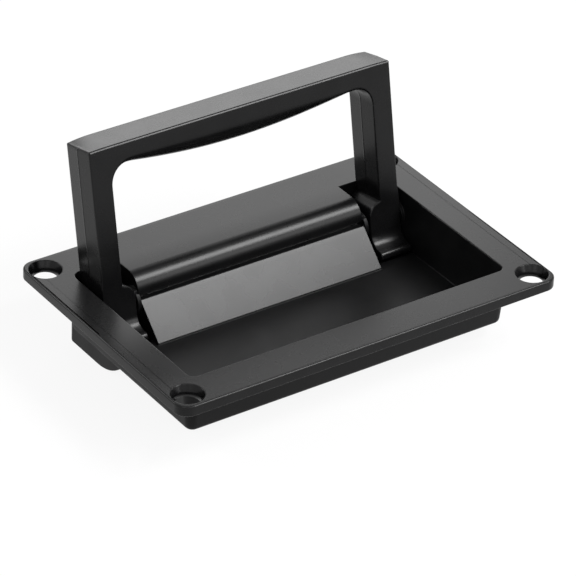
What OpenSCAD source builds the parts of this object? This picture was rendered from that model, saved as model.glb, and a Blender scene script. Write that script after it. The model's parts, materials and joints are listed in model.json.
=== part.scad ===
// Recessed pull handle: a flanged dish with a folding bail on two short pivot pins.
// Millimetres. X runs to the right, Y to the back and Z up.
// The origin is the centre of the flange's underside, level with the panel it is screwed to.
// The modules below measure heights from the flange's top face.
// The bail stands open, against its stop.

/* [Flange] */
// Length of the flange, left to right
flange_l = 120; // [112:1:150]
// Width of the flange, front to back
flange_w = 80; // [76:1:110]
// Thickness of the flange
flange_t = 3; // [2.5:0.1:4]
// Corner radius of the flange, seen from above
flange_corner_r = 4; // [2:0.5:8]
// Rounding of the flange's top outer edge
flange_edge_r = 0.5; // [0.2:0.1:1.2]
// Flange width beside the opening, left and right
rim_side = 10; // [9:0.25:14]
// Flange width in front of the opening
rim_front = 11.25; // [10:0.25:15]
// Flange width behind the arm slots
rim_back = 11.3; // [10:0.1:15]

/* [Screw holes] */
// Distance from the flange's left or right edge to a hole's centre
hole_inset_x = 5.2; // [5:0.1:5.5]
// Distance from the flange's front or back edge to a hole's centre
hole_inset_y = 5.65; // [5:0.05:6.2]
// Diameter of the through hole
hole_d = 6.6; // [4:0.1:7.4]
// Diameter of the countersink at the top face
sink_d = 9.1; // [8:0.1:9.6]
// Depth of the countersink
sink_depth = 2.4; // [1:0.1:2.4]

/* [Dish] */
// Depth of the dish's floor below the flange's top face
dish_depth = 15.3; // [14.8:0.1:18]
// Draft of the dish's walls in degrees
dish_draft = 5.2; // [1:0.1:6]
// Corner radius of the opening, seen from above
dish_corner_r = 2; // [1.9:0.1:5]
// Thickness of the dish's walls and floor
dish_wall = 1.8; // [1.4:0.1:2.6]
// Fillet between the floor and the walls, inside
floor_fillet_r = 0.4; // [0.1:0.05:0.5]
// Rounding of the bottom edges, outside
bottom_edge_r = 1.6; // [0.4:0.1:2]

/* [Rear pockets] */
// How far the slots' upright back wall stands behind the dish's drafted outline
slot_relief = 0.2; // [0.1:0.05:0.5]
// Gap between the pocket's curved front and the sweep of the bail's toe
toe_gap = 0.4; // [0.3:0.05:1]
// Thickness of the pocket's walls and bottom
pocket_wall = 1.4; // [1:0.1:2.4]
// Radius of the pocket's outer curve, front to bottom
pocket_curve_r = 15.3; // [13:0.1:18]
// How far the centre of that curve lies in front of the pivot
pocket_curve_ahead = 3.8; // [2:0.1:5]
// Rounding of the pocket's rear bottom edge
pocket_edge_r = 2; // [0.5:0.1:3]
// Rounding of the pocket's upright inner corners
pocket_corner_r = 0.6; // [0.2:0.1:0.8]

/* [Centre block] */
// Depth of the block's flat top, from the slots' back edge to its rolled front
plateau_w = 11.4; // [10:0.1:12.5]
// Radius of the rolled front edge
roll_r = 3.2; // [2:0.1:3.6]
// Depth of the shelf below the flange's top face
shelf_depth = 6.1; // [5.2:0.1:7]
// How far the shelf reaches in front of the rolled edge
shelf_reach = 0.85; // [0.3:0.05:2]
// How far the throat under the rolled edge is set back from its front
throat_inset = 0.8; // [0.3:0.05:1.2]
// Slope of the apron in degrees
apron_slope = 44; // [40:0.5:52]
// Rounding of the apron's upper and lower edges
apron_edge_r = 0.5; // [0.2:0.05:0.6]
// Height of the small step where the apron meets the floor
apron_step = 0.4; // [0.2:0.05:0.8]
// Thickness of the block's walls, which are hollow underneath
block_wall = 2.2; // [1.6:0.1:2.6]

/* [Pivot] */
// Diameter of the pivot pins
pin_d = 4; // [3:0.1:5]
// Radial clearance between a pin and the bail
pin_clearance = 0.05; // [0.02:0.01:0.1]
// Diameter of the bosses round the pins
boss_d = 8; // [6:0.1:10]
// Gap between a boss and the bail
boss_gap = 0.5; // [0.3:0.05:0.6]
// How deep each pin's end sits in the outer wall
pin_recess = 0.2; // [0.05:0.05:0.5]

/* [Bail] */
// Lean of the open bail in degrees past the upright
lean = 11.1; // [8:0.1:12]
// Distance from the pivot to the front face
bail_front = 4; // [3.2:0.1:5]
// Distance from the pivot to the back face
bail_back = 7.5; // [7:0.1:8]
// Width of each arm at its front and back faces
arm_w = 6.1; // [5:0.05:7]
// Height of the parting ridge along the arms
ridge_h = 0.3; // [0.1:0.05:0.4]
// Gap between the bail and the opening's edge, left and right
side_gap = 1.95; // [1.8:0.05:2.6]
// Gap between the folded bail and the opening's front edge
fold_gap = 1.95; // [1.9:0.05:4]
// Gap between the open bail and the slots' back edge
stop_gap = 0.1; // [0.05:0.01:0.2]

/* [Grip] */
// Thickness of the grip at its ends
grip_t = 4.5; // [3.5:0.1:6]
// Depth of the grip's belly at the middle, below the window's top
belly_drop = 5.85; // [2:0.05:7]
// Radius of the long arc along the belly
belly_arc_r = 188; // [170:1:500]
// Radius of the window's upper corners
window_r = 7; // [5:0.5:9]
// Rounding of the bail's outer top corners
end_corner_r = 1; // [0.4:0.1:2]

/* [Roots] */
// Width of each arm's root, where it widens inwards
root_w = 10.05; // [9.5:0.05:11]
// Gap between a root and the centre block
block_gap = 1.7; // [1.2:0.05:2.4]
// Radius of the rounded shoulder on top of a root
shoulder_r = 4.5; // [2:0.1:4.5]
// Reach of the toe in front of the pivot
toe_reach = 9.9; // [9:0.1:9.9]
// Drop of the toe's sole below the pivot
toe_drop = 7.3; // [6.8:0.05:7.3]
// Thickness of the toe at its nose
toe_t = 2.5; // [2:0.1:3]
// Radius of the hollow between the toe and the arm
toe_blend_r = 4.3; // [3:0.1:4.8]

/* [Hidden] */

$fn = 96;
// Overlap that lets two joined solids share volume, and lets a cutter pass a face
lap = 1;

// Sizes that come from an angle are rounded to a ten-thousandth of a millimetre,
// so that pieces drawn from different places meet in the same plane
function snap(v) = round(v * 10000) / 10000;
draft_slope = tan(dish_draft);

// The opening's edges at the flange's top face
open_x = flange_l / 2 - rim_side;
open_front = -flange_w / 2 + rim_front;
slot_back = flange_w / 2 - rim_back;

// The pivot: folded flat the bail's back face is level with the flange,
// and open it leans on the slots' back edge
pivot_z = -bail_back;
pivot_y = slot_back - stop_gap - snap(bail_back * (1 + sin(lean)) / cos(lean));

// The bail's widths and reach, measured from the middle and from the pivot
bail_x = open_x - side_gap;
arm_out = bail_x - ridge_h;
arm_in = arm_out - arm_w;
root_in = bail_x - root_w;
bail_reach = pivot_y - open_front - fold_gap;
window_top = bail_reach - grip_t;
bail_mid = (bail_back - bail_front) / 2;
bail_half_t = (bail_back + bail_front) / 2;
shoulder_top = snap((bail_back - bail_front * sin(lean)) / cos(lean));
toe_nose_r = toe_t / 2;
toe_sweep_r = snap(norm([toe_reach - toe_nose_r, toe_drop - toe_nose_r]) + toe_nose_r);

// The slots, the pockets under them and the block between them
block_x = root_in - block_gap;
floor_x = open_x - snap(dish_depth * draft_slope);
pocket_r = toe_sweep_r + toe_gap;
pocket_bottom = pivot_z - pocket_r;
pocket_out_bottom = pocket_bottom - pocket_wall;
roll_y = slot_back - plateau_w + roll_r;
roll_front = roll_y - roll_r;

// Where the pins sit
wall_x_at_pin = open_x + dish_wall + snap(pivot_z * draft_slope);
pin_out = wall_x_at_pin - pin_recess;
pin_in = block_x - block_wall;

// Half of an upright section through a drafted wall, from the middle line at 0 out to the wall.
// half is its width at z = 0, and the corner at the bottom is rounded by r.
module wall_section(half, bottom, r) {
    inset = snap(r * (1 - sin(dish_draft)) / cos(dish_draft));
    mid = [half + snap(bottom * draft_slope) - inset, bottom + r];
    polygon([
        [0, bottom],
        [mid.x, bottom],
        [mid.x + snap(r * cos(dish_draft)), mid.y - snap(r * sin(dish_draft))],
        [half + snap(lap * draft_slope), lap],
        [0, lap]
    ]);
    intersection() {
        translate(mid) circle(r);
        translate([0, bottom]) square([half, r]);
    }
}

// Runs its children on the right and, mirrored, on the left
module both_sides() {
    for (side = [0, 1]) mirror([side, 0, 0]) children();
}

// Puts a quarter turn of a section at each of the four corners
module four_corners(x, y) {
    both_sides() for (side = [0, 1]) mirror([0, side, 0])
        translate([x, y, 0]) rotate_extrude(angle = 90) children();
}

// Tub with drafted walls, rounded upright corners and a rounded bottom edge.
// Its sizes are those of its outline at z = 0.
module tub(half_l, front, back, bottom, corner_r, edge_r) {
    y_mid = (front + back) / 2;
    half_w = (back - front) / 2;
    translate([0, y_mid, 0]) {
        rotate([90, 0, 0])
            linear_extrude(2 * (half_w - corner_r), center = true)
                for (side = [0, 1]) mirror([side, 0]) wall_section(half_l, bottom, edge_r);
        rotate([90, 0, 90])
            linear_extrude(2 * (half_l - corner_r), center = true)
                for (side = [0, 1]) mirror([side, 0]) wall_section(half_w, bottom, edge_r);
        four_corners(half_l - corner_r, half_w - corner_r)
            wall_section(corner_r, bottom, edge_r);
    }
}

// Section of a plate's edge, from 0 out to half, with its top corner rounded
module edge_section(half) {
    translate([0, -flange_t]) square([half, flange_t - flange_edge_r]);
    translate([0, -flange_t]) square([half - flange_edge_r, flange_t]);
    translate([half - flange_edge_r, -flange_edge_r]) intersection() {
        circle(flange_edge_r);
        square(flange_edge_r);
    }
}

// The flange plate with rounded corners and a rounded top edge
module flange_plate() {
    in_x = flange_l / 2 - flange_corner_r;
    in_y = flange_w / 2 - flange_corner_r;
    rotate([90, 0, 0])
        linear_extrude(2 * in_y, center = true)
            for (side = [0, 1]) mirror([side, 0]) edge_section(flange_l / 2);
    rotate([90, 0, 90])
        linear_extrude(2 * in_x, center = true)
            for (side = [0, 1]) mirror([side, 0]) edge_section(flange_w / 2);
    four_corners(in_x, in_y) edge_section(flange_corner_r);
}

// Countersunk screw holes in the flange's four corners
module screw_holes() {
    for (sx = [-1, 1], sy = [-1, 1])
        translate([sx * (flange_l / 2 - hole_inset_x), sy * (flange_w / 2 - hole_inset_y), 0]) {
            translate([0, 0, -flange_t - lap]) cylinder(h = flange_t + 2 * lap, d = hole_d);
            translate([0, 0, -sink_depth]) cylinder(h = sink_depth, d1 = hole_d, d2 = sink_d);
            cylinder(h = lap, d = sink_d);
        }
}

// Extrudes a section drawn in Y and Z along X, between x0 and x1
module along_x(x0, x1) {
    translate([x0, 0, 0]) rotate([90, 0, 90]) linear_extrude(x1 - x0) children();
}

// Rectangle from one corner to the other
module rect(low, high) {
    translate(low) square(high - low);
}

// Outer section of a rear pocket: a large curve in front, then a flat bottom
module pocket_outer_section() {
    back = slot_back + pocket_wall;
    curve_y = pivot_y - pocket_curve_ahead;
    curve_z = pocket_out_bottom + pocket_curve_r;
    intersection() {
        translate([curve_y, curve_z]) circle(pocket_curve_r);
        rect([curve_y - pocket_curve_r, pocket_out_bottom], [curve_y + lap, -dish_depth]);
    }
    rect([curve_y, pocket_out_bottom], [back - pocket_edge_r, -flange_t + lap]);
    rect([curve_y, pocket_out_bottom + pocket_edge_r], [back, -flange_t + lap]);
    translate([back - pocket_edge_r, pocket_out_bottom + pocket_edge_r]) circle(pocket_edge_r);
}

// Inner section of a rear pocket: the toe's sweep about the pivot, then a flat bottom
module pocket_inner_section() {
    intersection() {
        translate([pivot_y, pivot_z]) circle(pocket_r);
        rect([pivot_y - pocket_r, pocket_bottom], [pivot_y + lap, pivot_z]);
    }
    rect([pivot_y, pocket_bottom], [slot_back, lap]);
}

// Outer shell of the right pocket. Its upright corners are rounded like the dish's.
module pocket_outer() {
    x0 = block_x - block_wall;
    x1 = floor_x + pocket_wall;
    corner_r = pocket_corner_r + pocket_wall;
    intersection() {
        along_x(x0, x1) pocket_outer_section();
        translate([0, 0, pocket_out_bottom - lap]) linear_extrude(-pocket_out_bottom) union() {
            rect([x0, -slot_back], [x1 - corner_r, slot_back + pocket_wall]);
            rect([x0, -slot_back], [x1, slot_back + pocket_wall - corner_r]);
            translate([x1, slot_back + pocket_wall] - corner_r * [1, 1]) circle(corner_r);
        }
    }
}

// Space inside the right pocket, open upwards into the arm slot
module pocket_space() {
    intersection() {
        along_x(block_x, floor_x) pocket_inner_section();
        translate([0, 0, pocket_bottom - lap]) linear_extrude(3 * lap - pocket_bottom) union() {
            rect([block_x, -slot_back], [floor_x - pocket_corner_r, slot_back]);
            rect([block_x, -slot_back], [floor_x, slot_back - pocket_corner_r]);
            translate([floor_x, slot_back] - pocket_corner_r * [1, 1]) circle(pocket_corner_r);
        }
    }
}

// Section of the centre block: flat top, rolled front edge, throat, shelf and sloping apron
module block_section() {
    shelf_y = roll_front - shelf_reach;
    throat_y = roll_front + throat_inset;
    foot_z = -dish_depth + apron_step;
    run = [cos(apron_slope), sin(apron_slope)];
    foot_y = shelf_y + (foot_z + shelf_depth) * run.x / run.y;
    top_turn = apron_edge_r * tan(apron_slope / 2);
    low_turn = apron_edge_r * tan((90 - apron_slope) / 2);
    base_z = -dish_depth - dish_wall / 2;
    rect([roll_y, -flange_t], [slot_back + lap, 0]);
    rect([roll_y, base_z], [slot_back, -flange_t + lap]);
    translate([roll_y, -roll_r]) circle(roll_r);
    polygon([
        [roll_y, -roll_r],
        [throat_y, -roll_r],
        [throat_y, -shelf_depth],
        [shelf_y + top_turn, -shelf_depth],
        [shelf_y, -shelf_depth] - top_turn * run,
        [foot_y, foot_z] + low_turn * run,
        [foot_y, foot_z - low_turn],
        [foot_y, base_z],
        [roll_y, base_z]
    ]);
    translate([shelf_y + top_turn, -shelf_depth - apron_edge_r]) circle(apron_edge_r);
    translate([foot_y + apron_edge_r, foot_z - low_turn]) circle(apron_edge_r);
}

// Section of the hollow under the centre block
module block_core_section() {
    shelf_y = roll_front - shelf_reach;
    run = [cos(apron_slope), sin(apron_slope)];
    open_z = pocket_out_bottom - lap;
    ceiling_z = -shelf_depth - block_wall;
    inner = [shelf_y, -shelf_depth] + block_wall * [run.y, -run.x];
    throat_y = roll_front + throat_inset + block_wall;
    rear_y = slot_back - block_wall;
    polygon([
        [rear_y, open_z],
        [rear_y, -flange_t],
        [throat_y + roll_r / 2, -flange_t],
        [throat_y, -flange_t - roll_r / 2],
        [throat_y, ceiling_z],
        [inner.x + (ceiling_z - inner.y) * run.x / run.y, ceiling_z],
        [inner.x + (open_z - inner.y) * run.x / run.y, open_z]
    ]);
}

// Boss on the side wall and boss on the block's end, with the bail's root between them
module bosses() {
    translate([0, pivot_y, pivot_z]) rotate([0, 90, 0]) {
        translate([0, 0, bail_x + boss_gap])
            cylinder(h = wall_x_at_pin - bail_x - boss_gap - dish_wall / 2, d = boss_d);
        translate([0, 0, block_x])
            cylinder(h = root_in - boss_gap - block_x, d = boss_d);
    }
}

// The cast tray: flange, dish, two rear pockets and the block between them
module tray() {
    color([0.10, 0.10, 0.11])
    difference() {
        union() {
            difference() {
                union() {
                    flange_plate();
                    difference() {
                        tub(open_x + dish_wall, open_front - dish_wall, slot_back + dish_wall,
                            -dish_depth - dish_wall, dish_corner_r + dish_wall, bottom_edge_r);
                        translate([-flange_l, -flange_w, -flange_t + lap])
                            cube([2 * flange_l, 2 * flange_w, 2 * flange_t]);
                    }
                    both_sides() pocket_outer();
                }
                tub(open_x, open_front, slot_back - slot_relief,
                    -dish_depth, dish_corner_r, floor_fillet_r);
                both_sides() pocket_space();
            }
            along_x(-block_x, block_x) block_section();
            both_sides() bosses();
        }
        along_x(-block_x + block_wall, block_x - block_wall) block_core_section();
        screw_holes();
        both_sides() translate([0, pivot_y, pivot_z]) rotate([0, 90, 0])
            translate([0, 0, pin_in - lap]) cylinder(h = pin_out - pin_in + 3 * lap, d = pin_d);
    }
}

// Half-elliptic belly under the grip. Its depth follows a long arc from the middle to the arms.
module belly() {
    steps = 28;
    turns = 12;
    top_lap = grip_t / 3;
    half_l = (arm_in + arm_out) / 2;
    function drop(x) = belly_drop - belly_arc_r + sqrt(belly_arc_r * belly_arc_r - x * x);
    function ring(x) = concat(
        [for (j = [0 : turns]) [
            x,
            bail_mid + bail_half_t * cos(180 * j / turns),
            window_top - drop(x) * sin(180 * j / turns)
        ]],
        [[x, bail_mid - bail_half_t + lap, window_top + top_lap],
         [x, bail_mid + bail_half_t - lap, window_top + top_lap]]
    );
    count = turns + 3;
    points = [for (i = [0 : steps]) each ring(half_l * (2 * i / steps - 1))];
    sides = [for (i = [0 : steps - 1], j = [0 : count - 1])
        let (a = i * count + j, b = i * count + (j + 1) % count) [a, b, b + count, a + count]];
    caps = [[for (j = [count - 1 : -1 : 0]) j], [for (j = [0 : count - 1]) steps * count + j]];
    polyhedron(points, concat(sides, caps), convexity = 4);
}

// One arm with its parting ridges, from the pivot up to the end face
module arm() {
    linear_extrude(bail_reach) polygon([
        [arm_in, -bail_front],
        [arm_out, -bail_front],
        [bail_x, bail_mid],
        [arm_out, bail_back],
        [arm_in, bail_back],
        [arm_in - ridge_h, bail_mid]
    ]);
}

// The grip's slab with the two rounded corners of the window
module grip() {
    translate([0, bail_back, 0]) rotate([90, 0, 0]) linear_extrude(bail_front + bail_back) {
        rect([-arm_in - lap, window_top], [arm_in + lap, bail_reach]);
        for (side = [0, 1]) mirror([side, 0]) difference() {
            rect([arm_in - window_r, window_top - window_r], [arm_in + lap, window_top + lap]);
            translate([arm_in, window_top] - window_r * [1, 1]) circle(window_r);
        }
    }
}

// Turns a point of the section from the upright into the arm's own directions
function in_arm(p) = [p.x * cos(lean) - p.y * sin(lean), p.x * sin(lean) + p.y * cos(lean)];

// What the rounding takes off the bail's two outer top corners
module end_corners() {
    both_sides() translate([bail_x - end_corner_r, bail_mid, bail_reach - end_corner_r])
        rotate([90, 0, 0]) linear_extrude(4 * bail_half_t, center = true) difference() {
            square(end_corner_r + lap);
            circle(end_corner_r);
        }
}

// Side section of a toe, drawn as the open bail stands, with the pivot at 0
module toe_section() {
    nose = [-toe_reach + toe_nose_r, -toe_drop + toe_nose_r];
    translate(nose) circle(toe_nose_r);
    rect([nose.x, -toe_drop], [0, nose.y + toe_nose_r]);
}

// Side section of the web that leads from a toe's top up to the arm's front face in one hollow,
// in the arm's own directions. The hollow dips a hair into the toe's top, so that the two cross.
module web_section() {
    dip = 0.02;
    toe_top = -toe_drop + toe_t;
    // Where the front face comes down to the level of the toe's top
    face_y = -bail_front / cos(lean) + toe_top * tan(lean);
    blend = min(toe_blend_r, (face_y + toe_reach - toe_nose_r) / tan((90 - lean) / 2));
    start = face_y - blend * tan((90 - lean) / 2);
    hollow = [-bail_front - blend, in_arm([start, toe_top + blend]).y];
    difference() {
        polygon([
            [0, 0],
            [-bail_front, 0],
            [-bail_front, hollow.y],
            in_arm([start, toe_top - dip / 2]),
            in_arm([start, toe_top - toe_nose_r]),
            in_arm([0, toe_top - toe_nose_r])
        ]);
        translate(hollow - dip * [0, 1]) circle(blend);
    }
}

// Side section of a root in the arm's own directions: the foot of the arm, the round heel
// behind and below the pin, and the toe
module root_section() {
    intersection() {
        circle(bail_back);
        rect([-bail_front, -bail_back - lap], [bail_back + lap, lap]);
    }
    rect([-bail_front, 0], [bail_back, shoulder_top]);
    web_section();
    rotate(lean) toe_section();
}

// Outline of a root seen from the front, with its rounded inner shoulder
module root_outline() {
    low = -toe_sweep_r - lap;
    rect([root_in + shoulder_r, low], [bail_x, shoulder_top]);
    rect([root_in, low], [bail_x, shoulder_top - shoulder_r]);
    translate([root_in, shoulder_top] + shoulder_r * [1, -1]) circle(shoulder_r);
}

// One root, in the arm's own directions
module root() {
    intersection() {
        translate([root_in, 0, 0]) rotate([90, 0, 90])
            linear_extrude(root_w) root_section();
        translate([0, 2 * toe_reach, 0]) rotate([90, 0, 0])
            linear_extrude(4 * toe_reach) root_outline();
    }
}

// The cast bail: two arms, the grip, and a root with its toe under each arm
module bail() {
    color([0.14, 0.14, 0.15])
    translate([0, pivot_y, pivot_z]) rotate([-lean, 0, 0]) difference() {
        union() {
            both_sides() arm();
            grip();
            belly();
            both_sides() root();
        }
        end_corners();
        both_sides() translate([root_in - lap, 0, 0]) rotate([0, 90, 0])
            cylinder(h = root_w + 2 * lap, r = pin_d / 2 + pin_clearance);
    }
}

// A pivot pin, pressed in through the side wall and on into the block's end wall
module pin() {
    color("silver")
    translate([pin_in, pivot_y, pivot_z]) rotate([0, 90, 0])
        cylinder(h = pin_out - pin_in, d = pin_d);
}

module pin_left() {
    mirror([1, 0, 0]) pin();
}

module pin_right() {
    pin();
}

// Sets a piece on the panel: the flange's underside comes to the height 0
module on_panel() {
    translate([0, 0, flange_t]) children();
}

on_panel() tray();
on_panel() bail();
on_panel() pin_left();
on_panel() pin_right();
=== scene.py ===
# %% [markdown]
# # A black recessed pull handle
# A flanged dish is let into a panel, and a folding bail stands up out of it on two short pins.
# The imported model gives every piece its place. This script gives the pieces their skins,
# their finish, the light and the camera.
#
# All lengths are in millimetres until a mesh is made. MM turns them into Blender's metres.

# %% The frame
import json
import math

import bmesh
import bpy
import numpy as np
from mathutils import Matrix, Vector


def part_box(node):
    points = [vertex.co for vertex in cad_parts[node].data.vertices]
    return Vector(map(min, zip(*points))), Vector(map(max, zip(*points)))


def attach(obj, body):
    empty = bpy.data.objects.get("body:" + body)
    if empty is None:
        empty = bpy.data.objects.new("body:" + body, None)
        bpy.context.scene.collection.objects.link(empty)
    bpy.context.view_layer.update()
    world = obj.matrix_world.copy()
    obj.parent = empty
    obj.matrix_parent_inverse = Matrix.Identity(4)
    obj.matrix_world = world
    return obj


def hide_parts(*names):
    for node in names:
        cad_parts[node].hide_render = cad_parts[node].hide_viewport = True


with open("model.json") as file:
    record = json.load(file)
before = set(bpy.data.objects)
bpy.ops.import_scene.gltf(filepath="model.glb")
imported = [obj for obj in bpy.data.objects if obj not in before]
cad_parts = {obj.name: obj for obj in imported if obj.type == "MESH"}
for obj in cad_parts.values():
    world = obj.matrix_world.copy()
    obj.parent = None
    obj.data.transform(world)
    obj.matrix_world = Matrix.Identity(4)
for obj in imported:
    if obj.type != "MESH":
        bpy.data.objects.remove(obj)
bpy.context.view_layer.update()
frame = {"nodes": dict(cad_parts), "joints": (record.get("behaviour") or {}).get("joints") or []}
MM = 0.001
print("nodes:", sorted(frame["nodes"]))


# %% Places read from the frame
def box_mm(node):
    """The lowest and highest corner of a node in millimetres, as two arrays."""
    low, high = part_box(node)
    return np.array(low) / MM, np.array(high) / MM


tray_low, tray_high = box_mm("tray")
bail_high = box_mm("bail")[1]
hinge = next(joint for joint in frame["joints"] if joint["name"] == "bail_hinge")
pivot = np.array(hinge["pos_m"]) / MM
flange_top = tray_high[2]
floor_z = tray_low[2]
print("pivot at", pivot.round(3), "flange top at", round(flange_top, 3))

# %% [markdown]
# ## The camera
# The photograph was taken from the front left and above, from about a metre away with a long
# lens. The camera's three directions and its place were fitted to the flange's edges, the
# screw holes and the bail, so they are written down as they came out of that fit.

# %% The camera
FOCAL_PIXELS = 3968.61
IMAGE_PIXELS = 576
CAMERA_RIGHT = Vector((0.8242, -0.5652, 0.0364))
CAMERA_UP = Vector((0.2795, 0.4618, 0.8418))
CAMERA_BACK = Vector((-0.4926, -0.6836, 0.5386))
CAMERA_FROM_FLANGE_TOP = Vector((-520.4, -721.88, 563.55))
SENSOR_MM = 36


def add_object(name, data):
    """Puts data into the scene as an object at the origin."""
    thing = bpy.data.objects.new(name, data)
    bpy.context.scene.collection.objects.link(thing)
    return thing


def add_camera():
    """A long lens at the fitted place, with no shift and no depth of field."""
    lens = bpy.data.cameras.new("camera")
    lens.sensor_width = SENSOR_MM
    lens.lens = FOCAL_PIXELS / IMAGE_PIXELS * lens.sensor_width
    camera = add_object("camera", lens)
    turn = Matrix((CAMERA_RIGHT, CAMERA_UP, CAMERA_BACK)).transposed().to_4x4()
    turn.translation = (CAMERA_FROM_FLANGE_TOP + Vector((0, 0, flange_top))) * MM
    camera.matrix_world = turn
    bpy.context.scene.camera = camera
    return camera


camera = add_camera()
print("lens", round(camera.data.lens, 1), "mm")

# %% [markdown]
# ## The bail as one tube
# The bail is one zinc casting: two arms, a grip with a rounded belly, and under each arm a
# wider root that ends in a toe. It could be cut from blocks with booleans, but its edges all
# flow into each other. So it is a ring of points carried along the piece, from the middle of
# the grip round the corner, down the arm, through the shoulder and on to the toe's nose, and
# mirrored for the other half.
#
# Each ring is a rounded rectangle. It has an inner side towards the window, a back side, an
# outer side and a front side. The inner side swells into the belly, and a fine ridge runs
# where the two halves of the mould met.

# %% The bail's sizes
LEAN = math.radians(11.1)
BAIL_FRONT = 4.0
BAIL_BACK = 7.5
ARM_W = 6.1
RIDGE = 0.3
RIDGE_END = 2.5
GRIP_T = 4.5
BELLY_DROP = 5.85
BELLY_ARC_R = 188.0
WINDOW_R = 7.0
ROOT_W = 10.05
SHOULDER_R = 4.5
TOE_REACH = 9.9
TOE_DROP = 7.3
TOE_T = 2.5
WEB_R = 4.3
EDGE_R = 0.32
GRIP_CHAMFER = (0.3, 0.55)
PIN_BORE_R = 2.05
TOP_SHARE = 0.45
SIDE_SHARE = 0.55
AROUND = 48
GRIP_RINGS = 30
ARM_RINGS = 13
RIDGE_END_RINGS = 7
SHOULDER_RINGS = 14
ROOT_RINGS = 44
WEB_POINTS = 16
NOSE_POINTS = 9
HEEL_POINTS = 40
CORNER_SHARES = np.concatenate([np.linspace(0, TOP_SHARE, 18),
                                np.linspace(TOP_SHARE, SIDE_SHARE, 9)[1:],
                                np.linspace(SIDE_SHARE, 1, 16)[1:]])

bail_x = bail_high[0]
arm_out = bail_x - RIDGE
arm_in = arm_out - ARM_W
root_in = bail_x - ROOT_W
reach = (bail_high[2] - pivot[2] - BAIL_FRONT * math.sin(LEAN)) / math.cos(LEAN)
window_top = reach - GRIP_T
shoulder_top = (BAIL_BACK - BAIL_FRONT * math.sin(LEAN)) / math.cos(LEAN)
depth = BAIL_FRONT + BAIL_BACK
print("reach", round(reach, 3), "shoulder top", round(shoulder_top, 3))


# %% Helpers for curves in the side view
def in_arm(y, z):
    """Turns upright offsets from the pivot into the arm's own directions: (back, up the arm)."""
    return np.stack([y * math.cos(LEAN) - z * math.sin(LEAN),
                     y * math.sin(LEAN) + z * math.cos(LEAN)], axis=-1)


def arc(centre, radius, start, end, count):
    """Points on a circle from one angle to another, in degrees."""
    angle = np.radians(np.linspace(start, end, count))
    return np.stack([centre[0] + radius * np.cos(angle), centre[1] + radius * np.sin(angle)], axis=-1)


def along(points, share):
    """The points at the given shares of a polyline's length."""
    run = np.concatenate([[0], np.cumsum(np.linalg.norm(np.diff(points, axis=0), axis=1))])
    return np.stack([np.interp(share * run[-1], run, points[:, k]) for k in (0, 1)], axis=-1)


def rounding(distance, radius):
    """How much a round edge takes off at a distance from the edge: radius minus the circle's
    height there, and nothing past the radius."""
    gap = np.clip(radius - distance, 0, radius)
    return radius - np.sqrt(np.maximum(radius ** 2 - gap ** 2, 0))


# %% [markdown]
# ### The stations
# A station says where one ring sits. It needs its inner front corner, the way from there to
# the outer side, the way from there to the back, and how much belly and ridge the ring has.
# In the root the rings fan out round the pin. Their front ends run down the face, through the
# hollow web and over the toe, while their back ends run round the heel and along the sole,
# until both meet at the nose. Just above the shoulder the ridge fades into the wider root.

# %% Stations along half of the bail
def belly_depth(x):
    """Depth of the belly under the window's top: a long arc, deepest in the middle."""
    return BELLY_DROP - BELLY_ARC_R + np.sqrt(BELLY_ARC_R ** 2 - x ** 2)


def toe_curves():
    """The front and the back outline of a root below the pin, both ending at the nose's tip."""
    nose_r = TOE_T / 2
    nose = (-TOE_REACH + nose_r, -TOE_DROP + nose_r)
    toe_top = nose[1] + nose_r
    face_y = -BAIL_FRONT / math.cos(LEAN) + toe_top * math.tan(LEAN)
    start = face_y - WEB_R * math.tan((math.pi / 2 - LEAN) / 2)
    web = (-BAIL_FRONT - WEB_R, in_arm(start, toe_top + WEB_R)[1])
    lean_deg = math.degrees(LEAN)
    web_arc = arc(web, WEB_R, 0, lean_deg - 90, WEB_POINTS)
    front_nose = arc(nose, nose_r, 90, 180, NOSE_POINTS)
    front = np.concatenate([[[-BAIL_FRONT, 0]], web_arc,
                            in_arm(front_nose[:, 0], front_nose[:, 1])])
    sole_start = -math.sqrt(BAIL_BACK ** 2 - TOE_DROP ** 2)
    heel_end = math.degrees(math.atan2(-TOE_DROP, sole_start)) + lean_deg
    back_nose = arc(nose, nose_r, 270, 180, NOSE_POINTS)
    back = np.concatenate([arc((0, 0), BAIL_BACK, 0, heel_end, HEEL_POINTS),
                           in_arm(back_nose[:, 0], back_nose[:, 1])])
    return front, back


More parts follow.
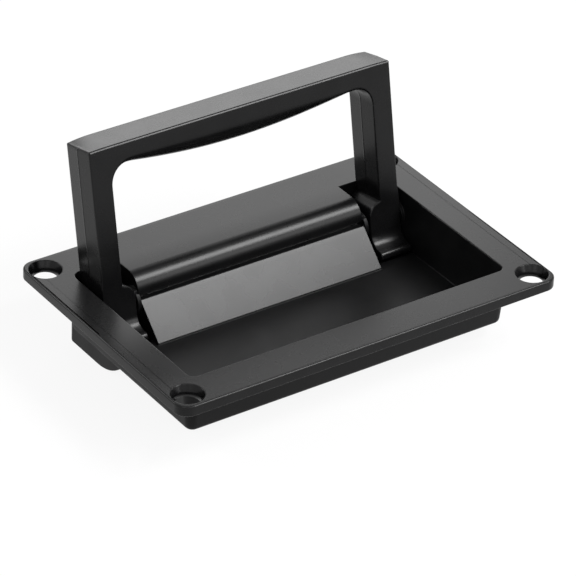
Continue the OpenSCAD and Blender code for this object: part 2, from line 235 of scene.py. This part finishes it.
def half_stations():
    """The stations from the grip's middle to the toe's nose, as a dictionary of arrays.
    Corners are (x, up the arm, back). across and deep are vectors to the outer and back side."""
    rows = []
    corner_x = arm_in - WINDOW_R
    corner_u = window_top - WINDOW_R

    def station(x, u, v, across, deep, share=np.nan, belly=0.0, ridge_in=0.0, ridge_out=0.0,
                chamfer=0.0):
        rows.append([x, u, v, *across, *deep, share, belly, ridge_in, ridge_out, chamfer])

    full_depth = (0, 0, depth)
    for x in np.linspace(0, corner_x, GRIP_RINGS)[:-1]:
        station(x, window_top, -BAIL_FRONT, (0, GRIP_T, 0), full_depth,
                belly=belly_depth(x), chamfer=1)
    for share in CORNER_SHARES:
        c, s = math.sin(share * math.pi / 2), math.cos(share * math.pi / 2)
        side = np.clip((share - TOP_SHARE) / (SIDE_SHARE - TOP_SHARE), 0, 1)
        station(corner_x + WINDOW_R * c, corner_u + WINDOW_R * s, -BAIL_FRONT, (c, s, 0),
                full_depth, share=share, belly=belly_depth(corner_x) * s ** 4,
                ridge_in=RIDGE * c ** 2, ridge_out=RIDGE * side, chamfer=1 - side)
    ridge_stop = shoulder_top + RIDGE_END
    for u in np.concatenate([np.linspace(corner_u, ridge_stop, ARM_RINGS)[1:],
                             np.linspace(ridge_stop, shoulder_top, RIDGE_END_RINGS)[1:]]):
        left = RIDGE * min((u - shoulder_top) / RIDGE_END, 1)
        station(arm_in, u, -BAIL_FRONT, (ARM_W + RIDGE - left, 0, 0), full_depth, ridge_in=left,
                ridge_out=left)
    widest = math.acos((root_in + SHOULDER_R - arm_in) / SHOULDER_R)
    for bend in np.linspace(widest, 0, SHOULDER_RINGS):
        x = root_in + SHOULDER_R * (1 - math.cos(bend))
        u = shoulder_top - SHOULDER_R * (1 - math.sin(bend))
        station(x, u, -BAIL_FRONT, (bail_x - x, 0, 0), full_depth)
    front, back = toe_curves()
    steps = np.linspace(0, 1, ROOT_RINGS)
    for (fv, fu), (bv, bu) in zip(along(front, steps), along(back, steps)):
        station(root_in, fu, fv, (ROOT_W, 0, 0), (0, bu - fu, bv - fv))
    table = np.array(rows)
    names = {"corner": slice(0, 3), "across": slice(3, 6), "deep": slice(6, 9)}
    parts = {name: table[:, cut] for name, cut in names.items()}
    for k, name in enumerate(("share", "belly", "ridge_in", "ridge_out", "chamfer")):
        parts[name] = table[:, 9 + k]
    return parts


stations = half_stations()
print("stations on half of the bail:", len(stations["share"]))

# %% [markdown]
# ### The rings
# A ring's points are worked out for all stations at once, as arrays of stations by points.
# On the two long sides the points follow a cosine, so they crowd at the edges, where the
# round edge needs them, and a few more lie close to the middle, for the fine flash line that
# the mould left on the ridge. Towards each outer corner the grip's top sinks in a low
# parabola, a little at the front and more at the back, and meets the arm's outer side in a
# crisp edge. Its long front edge is a fine chamfer.

# %% The ring surface
SIDE_POINTS = 25
FLAT_POINTS = 4
FLASH_H = 0.07
FLASH_W = 0.13
FLASH_SHARES = (0.470, 0.482, 0.491, 0.509, 0.518, 0.530)
SINK_LENGTH = 7.0
SINK_FRONT = 0.12
SINK_BACK = 0.5
CORNER_R = 0.35
EDGE_SHARE = 0.49
TINY = 1e-9


def corner_outline(share, back_share):
    """Outer outline round a corner, seen from the front: offsets (x, u) from the window
    corner's centre, and the outward direction there. The share runs from the top's end over
    a small arc to the side. The top sinks with the square of the way into the last
    SINK_LENGTH, and the amount grows towards the back."""
    half_x = arm_out - (arm_in - WINDOW_R)
    half_u = reach - (window_top - WINDOW_R)
    sink = SINK_FRONT + (SINK_BACK - SINK_FRONT) * back_share
    top_x = np.clip(share / TOP_SHARE, 0, 1) * (half_x - CORNER_R)
    into = np.clip((top_x - half_x + SINK_LENGTH) / (SINK_LENGTH - CORNER_R), 0, 1)
    swing = np.clip((share - TOP_SHARE) / (SIDE_SHARE - TOP_SHARE), 0, 1) * math.pi / 2
    down = np.clip((share - SIDE_SHARE) / (1 - SIDE_SHARE), 0, 1)
    end_u = half_u - sink - CORNER_R
    x = top_x + CORNER_R * np.sin(swing)
    u = half_u - sink * into ** 2 + CORNER_R * (np.cos(swing) - 1) - end_u * down
    return np.broadcast_arrays(x, u, np.sin(swing), np.cos(swing))


def ring_points(st):
    """Points of every ring, as an array of stations by points by (x, up the arm, back). Going
    from front to back, the inner side swells by the belly times an ellipse's height and by the
    ridge, which rises evenly to the middle and carries the flash line, a narrow bell curve.
    Then the round is taken off each long edge, or the chamfer off the grip's front edge."""
    col = {name: value[:, None] for name, value in st.items() if value.ndim == 1}
    wide = np.linalg.norm(st["across"], axis=1)[:, None]
    deep = np.linalg.norm(st["deep"], axis=1)[:, None]
    out_way = (st["across"] / np.maximum(wide, TINY))[:, None, :]
    back_way = (st["deep"] / np.maximum(deep, TINY))[:, None, :]
    cosine = (1 - np.cos(np.linspace(0, math.pi, SIDE_POINTS))) / 2
    back_share = np.sort(np.concatenate([cosine, FLASH_SHARES]))[None, :]
    beta = deep * back_share
    edge = np.minimum(EDGE_R, EDGE_SHARE * deep)
    back_edge = rounding(deep - beta, edge)
    front_edge = rounding(beta, edge)
    chamfer = GRIP_CHAMFER[1] * np.clip(1 - beta / GRIP_CHAMFER[0], 0, 1)
    swell = 2 * np.sqrt(back_share * (1 - back_share))
    flash = FLASH_H / RIDGE * np.exp(-((back_share - 0.5) * deep / FLASH_W) ** 2)
    ridge = 1 - np.abs(2 * back_share - 1) + flash
    inset = front_edge + back_edge - col["belly"] * swell - col["ridge_in"] * ridge
    inner = st["corner"][:, None, :] + inset[..., None] * out_way + beta[..., None] * back_way
    x, u, way_x, way_u = corner_outline(np.nan_to_num(col["share"]), back_share)
    centre = st["corner"][:, None, :] - WINDOW_R * out_way
    turned = centre + np.stack([x, u, 0 * u], axis=-1)
    is_corner = ~np.isnan(col["share"])[..., None]
    straight = st["corner"][:, None, :] + (wide[..., None] * out_way)
    outer_way = np.where(is_corner, np.stack([way_x, way_u, 0 * way_u], axis=-1), out_way)
    taken = col["chamfer"] * chamfer + (1 - col["chamfer"]) * front_edge + back_edge
    proud = col["ridge_out"] * ridge - taken
    outer = (np.where(is_corner, turned, straight) + proud[..., None] * outer_way
             + beta[..., None] * back_way)
    flat = np.linspace(0, 1, FLAT_POINTS + 2)[None, 1:-1, None]
    back_side = inner[:, -1:] + (outer[:, -1:] - inner[:, -1:]) * flat
    front_side = outer[:, :1] + (inner[:, :1] - outer[:, :1]) * flat
    return np.concatenate([inner, back_side, outer[:, ::-1], front_side], axis=1)


rings = ring_points(stations)
print("ring grid:", rings.shape)

# %% [markdown]
# ### From the grid to a closed mesh
# The half is mirrored, the two halves share the ring in the middle, and quads join each ring
# to the next. At the noses each last ring has closed to a line, so merging its doubled points
# seals the tube. The bores for the pins are then cut with a boolean.

# %% Mesh helpers
WELD_MM = 0.002
FLAT_FIRST = 100


def mesh_object(name, points_mm, faces):
    """A mesh object at the origin from points in millimetres and faces as lists of indices."""
    mesh = bpy.data.meshes.new(name)
    mesh.from_pydata((np.asarray(points_mm) * MM).tolist(), [], faces)
    mesh.update()
    return add_object(name, mesh)


def grid_quads(rows, columns):
    """Quads of a grid whose columns close on themselves, as an array of four indices each."""
    row, col = np.meshgrid(np.arange(rows - 1), np.arange(columns), indexing="ij")
    nxt = (col + 1) % columns
    quads = np.stack([row * columns + col, row * columns + nxt,
                      (row + 1) * columns + nxt, (row + 1) * columns + col], axis=-1)
    return quads.reshape(-1, 4)


def seal(thing):
    """Merges doubled points, drops faces with no area and turns all faces outwards."""
    work = bmesh.new()
    work.from_mesh(thing.data)
    bmesh.ops.remove_doubles(work, verts=work.verts, dist=WELD_MM * MM)
    bmesh.ops.dissolve_degenerate(work, dist=WELD_MM * MM / 2, edges=work.edges)
    bmesh.ops.recalc_face_normals(work, faces=work.faces)
    loose = sum(1 for edge in work.edges if len(edge.link_faces) != 2)
    work.to_mesh(thing.data)
    work.free()
    print(thing.name, "faces:", len(thing.data.polygons), "open edges:", loose)


def cut(thing, other):
    """Cuts other out of thing with the exact boolean, and removes other."""
    tool = thing.modifiers.new("cut", "BOOLEAN")
    tool.operation = "DIFFERENCE"
    tool.solver = "EXACT"
    tool.object = other
    made = thing.evaluated_get(bpy.context.evaluated_depsgraph_get())
    mesh = bpy.data.meshes.new_from_object(made)
    thing.modifiers.clear()
    thing.data = mesh
    bpy.data.objects.remove(other)


def shade(thing, angle_deg=40):
    """Smooth shading, with creases kept sharp and the large flat faces left truly flat."""
    thing.data.shade_smooth()
    thing.data.set_sharp_from_angle(angle=math.radians(angle_deg))
    weigh = thing.modifiers.new("flat faces stay flat", "WEIGHTED_NORMAL")
    weigh.keep_sharp = True
    weigh.weight = FLAT_FIRST


# %% The bail
def lathe_x(profile, y, z):
    """Points and faces of a turned piece: profile rows are (x, radius), spun about an axis
    along X through (y, z). Each ring has AROUND points, and a point closes each end."""
    profile = np.asarray(profile, float)
    angle = np.arange(AROUND) * 2 * math.pi / AROUND
    x = np.repeat(profile[:, 0], AROUND)
    ring = np.stack([profile[:, 1:2] * np.cos(angle), profile[:, 1:2] * np.sin(angle)], axis=-1)
    body = np.column_stack([x, y + ring[..., 0].ravel(), z + ring[..., 1].ravel()])
    ends = [[profile[0, 0], y, z], [profile[-1, 0], y, z]]
    faces = grid_quads(len(profile), AROUND).tolist()
    last = len(body)
    rim = (len(profile) - 1) * AROUND
    faces += [[last, (k + 1) % AROUND, k] for k in range(AROUND)]
    faces += [[last + 1, rim + k, rim + (k + 1) % AROUND] for k in range(AROUND)]
    return np.concatenate([body, ends]), faces


def build_bail():
    """The whole bail: both halves of the ring surface, sealed, bored and set on the pivot."""
    left = rings[::-1] * np.array([-1, 1, 1])
    grid = np.concatenate([left, rings[1:]])
    x, u, v = grid[..., 0], grid[..., 1], grid[..., 2]
    y = pivot[1] + u * math.sin(LEAN) + v * math.cos(LEAN)
    z = pivot[2] + u * math.cos(LEAN) - v * math.sin(LEAN)
    points = np.stack([x, y, z], axis=-1).reshape(-1, 3)
    bail = mesh_object("bail_skin", points, grid_quads(*grid.shape[:2]).tolist())
    seal(bail)
    for side in (-1, 1):
        near, far = root_in - 1, bail_x + 1
        profile = [[side * near, PIN_BORE_R], [side * far, PIN_BORE_R]]
        bore = mesh_object("bore", *lathe_x(profile, pivot[1], pivot[2]))
        seal(bore)
        cut(bail, bore)
    shade(bail)
    return bail


bail_skin = build_bail()
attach(bail_skin, "bail")
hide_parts("bail")
bail_points = np.array([vertex.co for vertex in bail_skin.data.vertices]) / MM
print("bail lowest and highest:", bail_points.min(axis=0).round(2), bail_points.max(axis=0).round(2))

# %% [markdown]
# ## The pins
# Two short steel pins carry the bail. A pin is turned from bar, so it is a profile spun about
# its axis. Both ends get a small chamfer, because a sharp end would shave the coating off the
# bore when the pin is pressed in.

# %% The pins
PIN_CHAMFER = 0.35


def build_pin(node):
    """A turned pin as long and as thick as its node, with a chamfer at each end: the radius
    grows from the end's flat to the full size over the chamfer's length."""
    low, high = box_mm(node)
    radius = (high[1] - low[1]) / 2
    ends = sorted((low[0], high[0]), key=abs)
    side = math.copysign(1, ends[0])
    profile = np.array([[abs(ends[0]), radius - PIN_CHAMFER],
                        [abs(ends[0]) + PIN_CHAMFER, radius],
                        [abs(ends[1]) - PIN_CHAMFER, radius],
                        [abs(ends[1]), radius - PIN_CHAMFER]]) * (side, 1)
    pin = mesh_object(node + "_turned", *lathe_x(profile, pivot[1], pivot[2]))
    seal(pin)
    shade(pin, 30)
    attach(pin, "tray")
    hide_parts(node)
    return pin


pins = [build_pin(node) for node in ("pin_left", "pin_right")]

# %% [markdown]
# ## The tray's skin
# Apart from one roll, the tray's shape is right as it comes from the frame. But its edges are
# knife sharp, and on the casting each edge is a small round that catches the light as a fine
# bright line. So a copy of the mesh is merged, its triangles are joined into larger flat
# faces, and a Bevel rounds each edge by its own amount. The rim of the opening gets the most.
# The narrow shelf gets little, and so do the rims of the countersinks, which lie close to the
# flange's edge. The foot of a countersink stays sharp.
#
# The block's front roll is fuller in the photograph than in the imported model, so its points
# are moved onto a larger circle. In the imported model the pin's bore breaks through the throat
# by a few hundredths of a millimetre. A thin tube round each pin's inner end closes that slit.

# %% The tray
SATIN_FINISH, DISH_FINISH, HOLE_FINISH = 0, 1, 2
ON_LEVEL = 0.02
FLAT_DEG = 0.3
BEVEL_STEPS = 3
CREASE_DEG = 28
WIDEST_EDGE = 0.35
COMMON_EDGE = 0.24
OUTER_EDGE = 0.3
FINE_EDGE = 0.12
RIM_EDGE = 0.2
HOLE_AREA_R = 5.2
BLOCK_HALF = 36.4
BLOCK_FRONT = 6.8
SHELF_BAND = (15.5, 18.8)
OPENING_HALF = (50.15, 28.9)
HOLE = (54.8, 34.35)
OLD_ROLL = (20.5, 3.2)
NEW_ROLL = (22.5, 5.0)
THROAT_ANGLE = math.radians(131.4)
THROAT_BACK = 0.6
THROAT_DROP = 0.75
ROLL_START = -0.02
ROLL_END = math.radians(140)
BLOCK_FOOT = 6.0
HOLE_LIP = 0.05
DISH_LIP = 0.4
SLEEVE_X = (33.6, 36.2)
SLEEVE_R = (2.0, 2.08)


def welded_copy(node):
    """A node's points and triangles, with the points that share a place made one."""
    mesh = frame["nodes"][node].data
    points = np.empty(len(mesh.vertices) * 3, np.float32)
    mesh.vertices.foreach_get("co", points)
    points = points.reshape(-1, 3).astype(float) / MM
    mesh.calc_loop_triangles()
    corners = np.empty(len(mesh.loop_triangles) * 3, np.int32)
    mesh.loop_triangles.foreach_get("vertices", corners)
    cell = np.round(points / WELD_MM).astype(np.int64)
    _, first, place = np.unique(cell, axis=0, return_index=True, return_inverse=True)
    tri = place.reshape(-1)[corners.reshape(-1, 3)]
    whole = (tri[:, 0] != tri[:, 1]) & (tri[:, 1] != tri[:, 2]) & (tri[:, 2] != tri[:, 0])
    return points[first], tri[whole]


def fuller_roll(points):
    """Moves the points of the block's front roll onto a fuller one. A point's angle round the
    old roll says where it goes: down to level it lies on the larger circle, and below level
    it runs back to the throat in a quarter wave. Points off the roll stay."""
    (old_y, old_r), (new_y, new_r) = OLD_ROLL, NEW_ROLL
    y, z = points[:, 1] - old_y, points[:, 2] - (flange_top - old_r)
    angle = np.arctan2(-y, z)
    on_roll = (np.abs(np.hypot(y, z) - old_r) < ON_LEVEL) & (np.abs(points[:, 0]) < BLOCK_HALF)
    on_roll &= (angle > ROLL_START) & (angle < ROLL_END)
    under = np.clip((angle - math.pi / 2) / (THROAT_ANGLE - math.pi / 2), 0, 1) * math.pi / 2
    turn = np.clip(angle, 0, math.pi / 2)
    fuller_y = new_y - new_r * np.sin(turn) + THROAT_BACK * (1 - np.cos(under))
    fuller_z = flange_top - new_r * (1 - np.cos(turn)) - THROAT_DROP * np.sin(under)
    moved = points.copy()
    moved[on_roll, 1] = fuller_y[on_roll]
    moved[on_roll, 2] = fuller_z[on_roll]
    print("points on the roll:", int(on_roll.sum()))
    return moved


def near_hole(x, y):
    """Whether a place seen from above lies in or beside a screw hole."""
    return math.hypot(abs(x) - HOLE[0], abs(y) - HOLE[1]) < HOLE_AREA_R


def in_opening(x, y):
    """Whether a place seen from above lies inside the opening of the flange."""
    return abs(x) < OPENING_HALF[0] and abs(y) < OPENING_HALF[1]


def on_block(x, y):
    """Whether a place seen from above lies on the centre block, with its apron and roll."""
    return abs(x) < BLOCK_HALF and BLOCK_FRONT < y < OPENING_HALF[1]


def edge_round(middle):
    """How wide the round of an edge is in millimetres, from where its middle lies."""
    x, y, z = middle
    if near_hole(x, y):
        return RIM_EDGE if z > flange_top - ON_LEVEL else 0
    if on_block(x, y) and SHELF_BAND[0] < y < SHELF_BAND[1]:
        return FINE_EDGE
    if abs(z - flange_top) < ON_LEVEL:
        return WIDEST_EDGE if in_opening(x, y) else OUTER_EDGE
    return COMMON_EDGE


def finish_of(centre):
    """Which finish a face gets: the satin one on top and on the block, the smooth cut of a
    countersink, whose darker colour is painted shade in its hollow, or the rougher one in and
    under the dish, where no wheel reaches."""
    x, y, z = centre
    if on_block(x, y) and z > tray_low[2] + BLOCK_FOOT:
        return SATIN_FINISH
    if near_hole(x, y) and 0 < z < flange_top - HOLE_LIP:
        return HOLE_FINISH
    if z < -HOLE_LIP or (in_opening(x, y) and z < flange_top - DISH_LIP):
        return DISH_FINISH
    return SATIN_FINISH


def sleeve(side):
    """A short tube round the pin's inner end: the outer skin goes one way along the axis and
    the bore comes back, so one closed profile gives both."""
    (near, far), (bore, skin) = SLEEVE_X, SLEEVE_R
    profile = np.array([[near, bore], [near, skin], [far, skin], [far, bore], [near, bore]])
    points, faces = lathe_x(profile * (side, 1), pivot[1], pivot[2])
    closed = len(profile) * AROUND
    walls = [face for face in faces if max(face) < closed]
    tube = mesh_object("sleeve", points[:closed], walls)
    seal(tube)
    tube.data.shade_smooth()
    for face in tube.data.polygons:
        face.material_index = DISH_FINISH
    return tube


def build_tray():
    """The welded tray with a sleeve round each pin, joined flat faces and a rounded edge at
    every crease that edge_round gives a width."""
    points, triangles = welded_copy("tray")
    tray = mesh_object("tray_skin", fuller_roll(points), triangles.tolist())
    work = bmesh.new()
    work.from_mesh(tray.data)
    bmesh.ops.join_triangles(work, faces=work.faces, angle_shape_threshold=math.pi,
                             angle_face_threshold=math.radians(FLAT_DEG), cmp_seam=False,
                             cmp_sharp=False, cmp_uvs=False, cmp_vcols=False,
                             cmp_materials=False)
    weight = work.edges.layers.float.new("bevel_weight_edge")
    for edge in work.edges:
        if len(edge.link_faces) == 2 and edge.calc_face_angle(0) > math.radians(CREASE_DEG):
            middle = (edge.verts[0].co + edge.verts[1].co) / 2 / MM
            edge[weight] = edge_round(middle) / WIDEST_EDGE
    for face in work.faces:
        face.smooth = True
        face.material_index = finish_of(face.calc_center_median() / MM)
    for side in (-1, 1):
        tube = sleeve(side)
        work.from_mesh(tube.data)
        bpy.data.objects.remove(tube)
    work.to_mesh(tray.data)
    work.free()
    soften = tray.modifiers.new("rounded edges", "BEVEL")
    soften.width = WIDEST_EDGE * MM
    soften.segments = BEVEL_STEPS
    soften.limit_method = "WEIGHT"
    soften.use_clamp_overlap = False
    soften.harden_normals = True
    soften.miter_outer = "MITER_SHARP"
    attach(tray, "tray")
    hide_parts("tray")
    return tray


tray_skin = build_tray()
print("tray faces:", len(tray_skin.data.polygons))

# %% [markdown]
# ## The finish
# Both castings have a thin satin black coat. It keeps a fine peel, a slow unevenness, and
# along the arms the streaks of the polishing. One node group works out that relief, and each
# material places it with its own values. The colour is nearly black all over, so most of what
# is seen is the way the surface mirrors soft light.


# %% The relief as a node group
def shader_group(name, inputs, outputs):
    """An empty shader group with named sockets. Each input is (name, type, default)."""
    tree = bpy.data.node_groups.new(name, "ShaderNodeTree")
    for label, kind, default in inputs:
        socket = tree.interface.new_socket(label, in_out="INPUT", socket_type=kind)
        if default is not None:
            socket.default_value = default
    for label, kind in outputs:
        tree.interface.new_socket(label, in_out="OUTPUT", socket_type=kind)
    return tree, tree.nodes.new("NodeGroupInput"), tree.nodes.new("NodeGroupOutput")


def math_node(tree, operation, first, second):
    """A Math node on two sockets or numbers. Its result is returned."""
    node = tree.nodes.new("ShaderNodeMath")
    node.operation = operation
    for socket, value in zip(node.inputs, (first, second)):
        if isinstance(value, bpy.types.NodeSocket):
            tree.links.new(value, socket)
        else:
            socket.default_value = value
    return node.outputs[0]


def noise(tree, vector, scale, detail=2.0, roughness=0.5):
    """A Noise Texture's value at a vector. The scale is a socket that gives cells per metre."""
    node = tree.nodes.new("ShaderNodeTexNoise")
    tree.links.new(vector, node.inputs["Vector"])
    tree.links.new(scale, node.inputs["Scale"])
    node.inputs["Detail"].default_value = detail
    node.inputs["Roughness"].default_value = roughness
    return node.outputs[0]


def cast_relief_group():
    """Relief of a coated casting: peel is fine noise, swell is slow noise, and streaks are
    noise squeezed along the stretch vector. Height is their sum, each times its amount.
    Unevenness is the slow noise alone, for colour and roughness."""
    tree, given, out = shader_group(
        "cast_relief",
        [("Vector", "NodeSocketVector", None), ("Stretch", "NodeSocketVector", (1, 1, 1)),
         ("Peel Scale", "NodeSocketFloat", 2500.0), ("Peel", "NodeSocketFloat", 1.0),
         ("Swell Scale", "NodeSocketFloat", 120.0), ("Swell", "NodeSocketFloat", 1.0),
         ("Streak Scale", "NodeSocketFloat", 1500.0), ("Streaks", "NodeSocketFloat", 0.0)],
        [("Height", "NodeSocketFloat"), ("Unevenness", "NodeSocketFloat")])
    stretch = tree.nodes.new("ShaderNodeVectorMath")
    stretch.operation = "MULTIPLY"
    tree.links.new(given.outputs["Vector"], stretch.inputs[0])
    tree.links.new(given.outputs["Stretch"], stretch.inputs[1])
    peel = noise(tree, given.outputs["Vector"], given.outputs["Peel Scale"])
    swell = noise(tree, given.outputs["Vector"], given.outputs["Swell Scale"])
    streaks = noise(tree, stretch.outputs[0], given.outputs["Streak Scale"], 3.0, 0.6)
    height = math_node(tree, "MULTIPLY", peel, given.outputs["Peel"])
    for part, amount in ((swell, "Swell"), (streaks, "Streaks")):
        share = math_node(tree, "MULTIPLY", part, given.outputs[amount])
        height = math_node(tree, "ADD", height, share)
    tree.links.new(height, out.inputs["Height"])
    tree.links.new(swell, out.inputs["Unevenness"])
    return tree


cast_relief = cast_relief_group()
print("group sockets:", [s.name for s in cast_relief.interface.items_tree])

# %% [markdown]
# ### The materials
# The black coat mixes two near blacks and two roughnesses by the slow unevenness. The top and
# the bail are satin, the dish is duller and rougher, and the countersinks, which would be cut
# after casting, are a little smoother. Their colours are also a little darker than the coat's,
# which is painted shade in the hollows. The pins can hardly be seen, and the gap beside each
# root is dark, so their steel is given a very dark colour, painted shade for that gap. It uses
# the same relief, stretched round the axis, for the marks of turning.


# %% The materials
MIX_COLOUR_A, MIX_COLOUR_B, MIX_COLOUR_OUT = 6, 7, 2
MASK_START, MASK_END = 0.3, 0.7
PEEL_PER_METRE = 2200.0
SATIN_SPECULAR = 0.2
DISH_SPECULAR = 0.12
HOLE_SPECULAR = 0.22
COAT = ((0.003, 0.003, 0.0032), (0.005, 0.005, 0.0052))
# The countersinks' colours are darker than the coat's: painted shade in their hollows.
HOLE_COAT_AND_SHADE = ((0.002, 0.002, 0.0022), (0.003, 0.003, 0.0032))
# The pins' very dark steel colours are painted shade for the gap beside each root.
DARK_STEEL_PAINTED_SHADE = ((0.035, 0.035, 0.037), (0.06, 0.06, 0.062))


def new_material(name):
    """A material with only a Principled BSDF, an output and the piece's own coordinates."""
    material = bpy.data.materials.new(name)
    material.use_nodes = True
    tree = material.node_tree
    shader = tree.nodes["Principled BSDF"]
    place = tree.nodes.new("ShaderNodeTexCoord").outputs["Object"]
    return material, tree, shader, place


def blend_values(tree, mask, low, high):
    """A Map Range node: from MASK_START to MASK_END of the mask the result goes low to high."""
    node = tree.nodes.new("ShaderNodeMapRange")
    node.inputs["From Min"].default_value = MASK_START
    node.inputs["From Max"].default_value = MASK_END
    node.inputs["To Min"].default_value = low
    node.inputs["To Max"].default_value = high
    tree.links.new(mask, node.inputs["Value"])
    return node.outputs["Result"]


def blend_colours(tree, mask, low, high):
    """A colour between low and high by the mask. A Mix node has one set of sockets for each
    kind of data, and its colour sockets come after those for numbers and vectors."""
    node = tree.nodes.new("ShaderNodeMix")
    node.data_type = "RGBA"
    for socket, colour in ((MIX_COLOUR_A, low), (MIX_COLOUR_B, high)):
        node.inputs[socket].default_value = (*colour, 1)
    tree.links.new(mask, node.inputs["Factor"])
    return node.outputs[MIX_COLOUR_OUT]


def relief_material(name, colours, rough, bump_mm, metallic=0.0, specular=SATIN_SPECULAR,
                    **values):
    """A finish whose relief comes from the shared group. colours is (darkest, lightest) and
    rough is (smoothest, roughest). The values go to the group's inputs of the same names."""
    material, tree, shader, place = new_material(name)
    relief = tree.nodes.new("ShaderNodeGroup")
    relief.node_tree = cast_relief
    tree.links.new(place, relief.inputs["Vector"])
    for label, value in values.items():
        relief.inputs[label.replace("_", " ").title()].default_value = value
    uneven = relief.outputs["Unevenness"]
    mask = blend_values(tree, uneven, 0.0, 1.0)
    tree.links.new(blend_colours(tree, mask, *colours), shader.inputs["Base Color"])
    tree.links.new(blend_values(tree, uneven, *rough), shader.inputs["Roughness"])
    bump = tree.nodes.new("ShaderNodeBump")
    bump.inputs["Distance"].default_value = bump_mm * MM
    bump.inputs["Strength"].default_value = 1.0
    tree.links.new(relief.outputs["Height"], bump.inputs["Height"])
    tree.links.new(bump.outputs["Normal"], shader.inputs["Normal"])
    shader.inputs["Metallic"].default_value = metallic
    shader.inputs["Specular IOR Level"].default_value = specular
    return material


tray_black = relief_material("satin_black_tray", COAT, (0.265, 0.285), 0.002,
                             peel_scale=PEEL_PER_METRE, swell=0.05)
dish_black = relief_material("as_cast_black", COAT, (0.38, 0.46), 0.006,
                             specular=DISH_SPECULAR, peel_scale=PEEL_PER_METRE, swell=0.8)
bail_black = relief_material("satin_black_bail", COAT, (0.255, 0.285), 0.002,
                             peel_scale=PEEL_PER_METRE, swell=0.05, streaks=3.0,
                             stretch=(1.0, 1.0, 0.04))
# The countersinks get the smoother cut and darker colours, which are painted shade in their hollows.
hole_black_and_shade = relief_material("countersink_black", HOLE_COAT_AND_SHADE, (0.2, 0.24), 0.002,
                             specular=HOLE_SPECULAR, peel_scale=PEEL_PER_METRE, swell=0.05)
# The pins' very dark steel is painted shade for the shaded gap beside each root.
pin_steel = relief_material("dark_steel_painted_shade", DARK_STEEL_PAINTED_SHADE, (0.22, 0.34), 0.002,
                            metallic=1.0, specular=0.5, streaks=1.0,
                            stretch=(1.0, 0.02, 0.02))
for finish in (tray_black, dish_black, hole_black_and_shade):
    tray_skin.data.materials.append(finish)
bail_skin.data.materials.append(bail_black)
for pin in pins:
    pin.data.materials.append(pin_steel)
print("tray finishes:", [finish.name for finish in tray_skin.data.materials])

# %% [markdown]
# ## The stage and the light
# The photograph has a pure white ground. The floor shows itself to the camera and to mirrored
# rays as mostly white light of its own, and the rest of it is plain pale paint, which keeps a
# soft shadow.
#
# Black satin shows only what it mirrors, so each lamp stands where some faces look for light
# from the camera's side. The key lights the apron and the roll, and the low front lamp gives
# the roll its slow fall below. The back lamp lights the flat top and the grip's top, and the
# rim lamp lights the left edges. The two fills change this view very little. They light the
# tops when the object is seen from behind.

# %% The floor
FLOOR_HALF = 2500.0
FLOOR_GAP = 0.05
FLOOR_GLOW = 0.9
FLOOR_PAINT = 0.9
FLOOR_ROUGHNESS = 0.9
FLOOR_SPECULAR = 0.1


def seen_directly(tree):
    """1 for camera, glossy and transmission rays, and 0 for the rays that light things."""
    path = tree.nodes.new("ShaderNodeLightPath")
    return math_node(tree, "MAXIMUM", path.outputs["Is Camera Ray"],
                     math_node(tree, "MAXIMUM", path.outputs["Is Glossy Ray"],
                               path.outputs["Is Transmission Ray"]))


def build_floor():
    """A square just under the place where the tray stands, facing up."""
    edge = FLOOR_HALF
    z = floor_z - FLOOR_GAP
    corners = [(-edge, -edge, z), (edge, -edge, z), (edge, edge, z), (-edge, edge, z)]
    floor = mesh_object("floor", corners, [(0, 1, 2, 3)])
    material, tree, shader, _ = new_material("pale_ground")
    shader.inputs["Base Color"].default_value = (FLOOR_PAINT, FLOOR_PAINT, FLOOR_PAINT, 1)
    shader.inputs["Roughness"].default_value = FLOOR_ROUGHNESS
    shader.inputs["Specular IOR Level"].default_value = FLOOR_SPECULAR
    glow = tree.nodes.new("ShaderNodeEmission")
    mix = tree.nodes.new("ShaderNodeMixShader")
    tree.links.new(math_node(tree, "MULTIPLY", seen_directly(tree), FLOOR_GLOW), mix.inputs[0])
    tree.links.new(shader.outputs[0], mix.inputs[1])
    tree.links.new(glow.outputs[0], mix.inputs[2])
    tree.links.new(mix.outputs[0], tree.nodes["Material Output"].inputs["Surface"])
    floor.data.materials.append(material)
    return floor


print("floor at", round(build_floor().data.vertices[0].co.z / MM, 2), "mm")

# %% The world and the lamps
WORLD_LEVEL = 0.3


def build_world():
    """A plain grey world for lighting, white where it is seen or mirrored."""
    world = bpy.data.worlds.new("studio")
    bpy.context.scene.world = world
    world.use_nodes = True
    tree = world.node_tree
    level = tree.nodes["Background"].inputs["Strength"]
    tree.nodes["Background"].inputs["Color"].default_value = (1, 1, 1, 1)
    extra = math_node(tree, "MULTIPLY", seen_directly(tree), 1 - WORLD_LEVEL)
    tree.links.new(math_node(tree, "ADD", extra, WORLD_LEVEL), level)


def soft_lamp(name, place_mm, width_mm, height_mm, radiance):
    """A rectangular lamp that looks at the object. Its power is radiance times pi times its
    area, so the radiance is what a mirror would show."""
    light = bpy.data.lights.new(name, "AREA")
    light.shape = "RECTANGLE"
    light.size = width_mm * MM
    light.size_y = height_mm * MM
    light.energy = radiance * math.pi * light.size * light.size_y
    lamp = add_object(name, light)
    lamp.location = Vector(place_mm) * MM
    lamp.rotation_euler = lamp.location.to_track_quat("Z", "Y").to_euler()
    lamp.visible_camera = False
    return lamp


build_world()
lamps = [soft_lamp("key", (420, -385, 690), 350, 300, 22),
         soft_lamp("low front", (440, -700, 380), 400, 300, 4),
         soft_lamp("back", (255, 400, 215), 260, 230, 2.6),
         soft_lamp("rim", (-490, 610, 440), 260, 260, 7),
         soft_lamp("fill", (-120, -760, 520), 500, 260, 3),
         soft_lamp("left fill", (-620, -420, 500), 360, 260, 3)]
print("lamps:", [lamp.name for lamp in lamps])
bpy.context.scene.view_settings.view_transform = "Standard"
